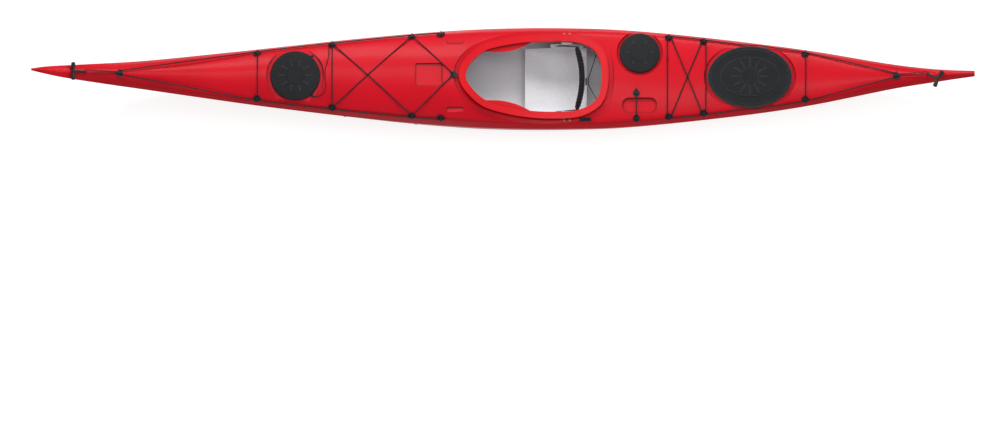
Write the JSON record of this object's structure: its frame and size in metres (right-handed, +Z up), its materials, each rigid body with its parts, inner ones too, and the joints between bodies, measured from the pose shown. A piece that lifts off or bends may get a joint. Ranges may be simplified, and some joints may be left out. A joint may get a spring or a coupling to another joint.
{
  "type": "sea kayak",
  "caption": "Single-seat sea kayak with round and oval hatches, long cockpit, deck lines, bungees, end toggles, foot braces, backband and a drop-down skeg worked by a deck slider.",
  "frame": {"origin": "On the flat of the keel, at half the length and on the centre line", "axes": "X from the bow (-X) to the stern (+X), Y from port (-Y) to starboard (+Y), Z up"},
  "size_m": [5.2, 0.565, 0.5128],
  "materials": {
    "hull_red": "glossy gelcoat",
    "deck_red": "glossy gelcoat",
    "inside_grey": "satin laminate",
    "seat_grey": "satin",
    "coaming_red": "glossy gelcoat",
    "hatch_rubber": "matt",
    "rim_plastic": "satin",
    "black_plastic": "satin",
    "rail_aluminium": "anodised",
    "steel": "stainless",
    "cord_black": "braided",
    "backband_fabric": "woven"
  },
  "bodies": {
    "boat": {"hull_shell": "hull_red", "deck_shell": "deck_red", "seam_tape": "inside_grey", "cockpit_coaming": "coaming_red", "front_bulkhead": "inside_grey", "day_bulkhead": "inside_grey", "rear_bulkhead": "inside_grey", "front_hatch_rim": "rim_plastic", "day_hatch_rim": "rim_plastic", "rear_hatch_rim": "rim_plastic", "front_hatch_tether": "cord_black", "seat_pan": "seat_grey", "seat_hangers": "inside_grey", "seat_bolts": "steel", "backband_anchors": "steel", "backband_cord": "cord_black", "foot_rail_port": "rail_aluminium", "foot_rail_starboard": "rail_aluminium", "foot_rail_spacers": "black_plastic", "foot_rail_bolts": "steel", "skeg_box": "inside_grey", "skeg_pivot_pin": "steel", "skeg_cable_gland": "black_plastic", "skeg_cable_housing": "black_plastic", "skeg_cable": "steel", "skeg_slider_track": "black_plastic", "fore_deck_fittings": "black_plastic", "aft_deck_fittings": "black_plastic", "end_fittings": "black_plastic", "centre_fitting": "black_plastic", "paddle_fittings": "black_plastic", "fitting_screws": "steel", "fore_deck_line": "cord_black", "aft_deck_line": "cord_black", "fore_cross_lines": "cord_black", "aft_cross_line": "cord_black", "fore_bungees": "cord_black", "aft_bungee": "cord_black", "paddle_bungee": "cord_black", "line_knots": "cord_black", "bow_toggle_cord": "cord_black", "stern_toggle_cord": "cord_black"},
    "front_cover": {"front_hatch_cover": "hatch_rubber"},
    "day_cover": {"day_hatch_cover": "hatch_rubber"},
    "rear_cover": {"rear_hatch_cover": "hatch_rubber"},
    "backband": {"backband_pad": "backband_fabric", "backband_straps": "backband_fabric", "backband_buckle": "black_plastic"},
    "pedal_port": {"foot_pedal_port": "black_plastic"},
    "pedal_starboard": {"foot_pedal_starboard": "black_plastic"},
    "skeg": {"skeg_blade": "black_plastic"},
    "skeg_knob": {"skeg_slider_knob": "black_plastic"},
    "bow_toggle_body": {"bow_toggle": "black_plastic"},
    "stern_toggle_body": {"stern_toggle": "black_plastic"}
  },
  "joints": [
    {"name": "skeg_pivot", "type": "hinge", "parent": "boat", "child": "skeg", "pos_m": [1.566, 0, 0.05215], "axis": [0, 1, 0], "range_deg": [0, 48.5]},
    {"name": "skeg_slider", "type": "slide", "parent": "boat", "child": "skeg_knob", "axis": [0.9999, 0, -0.0107], "range_m": [0, 0.0364]},
    {"name": "front_cover_lift", "type": "slide", "parent": "boat", "child": "front_cover", "axis": [0, 0, 1], "range_m": [0, 0.05]},
    {"name": "day_cover_lift", "type": "slide", "parent": "boat", "child": "day_cover", "axis": [0, 0.1045, 0.9945], "range_m": [0, 0.05]},
    {"name": "rear_cover_lift", "type": "slide", "parent": "boat", "child": "rear_cover", "axis": [0, 0, 1], "range_m": [0, 0.05]},
    {"name": "backband_tilt", "type": "hinge", "parent": "boat", "child": "backband", "pos_m": [0.3, 0, 0.19], "axis": [0, 1, 0], "range_deg": [-12, 15]},
    {"name": "pedal_port_slide", "type": "slide", "parent": "boat", "child": "pedal_port", "axis": [-0.9941, 0.1088, 0], "range_m": [-0.12, 0.12]},
    {"name": "pedal_starboard_slide", "type": "slide", "parent": "boat", "child": "pedal_starboard", "axis": [0.9941, 0.1088, 0], "range_m": [-0.12, 0.12]},
    {"name": "bow_toggle_lift", "type": "hinge", "parent": "boat", "child": "bow_toggle_body", "pos_m": [-2.303, 0, 0.42801], "axis": [0, 1, 0], "range_deg": [0, 100]},
    {"name": "stern_toggle_lift", "type": "hinge", "parent": "boat", "child": "stern_toggle_body", "pos_m": [2.342, 0, 0.33848], "axis": [-0.4384, -0.8988, 0], "range_deg": [0, 100]}
  ],
  "couplings": [
    {"joint": "skeg_slider", "follows": "skeg_pivot", "m_per_rad": 0.0425}
  ]
}
